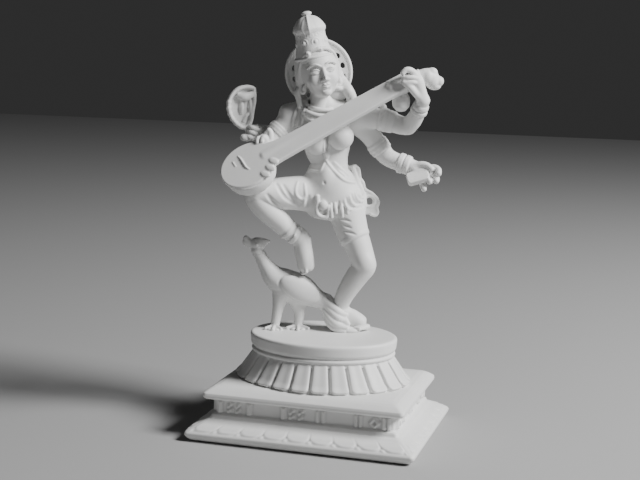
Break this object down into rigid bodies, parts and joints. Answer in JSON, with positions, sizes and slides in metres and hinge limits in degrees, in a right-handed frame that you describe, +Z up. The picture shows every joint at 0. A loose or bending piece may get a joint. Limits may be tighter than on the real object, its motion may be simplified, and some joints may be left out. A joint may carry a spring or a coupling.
{
  "type": "four-armed figure statuette",
  "caption": "White statuette of a dancing four-armed figure with a lute, a book and a rosary, beside a goose on an oval lotus and a stepped plinth, made in one piece.",
  "frame": {"origin": "middle of the plinth's underside", "axes": "+Z up, -Y towards the plinth's long front side, +X to the viewer's right; the figure is turned 16 degrees on its plinth"},
  "size_m": [0.0826, 0.0642, 0.1499],
  "materials": {
    "white_print": "matt, very slightly soft sheen, fine layer grain"
  },
  "bodies": {
    "root": {"saraswati_statuette": "white_print"}
  },
  "joints": []
}
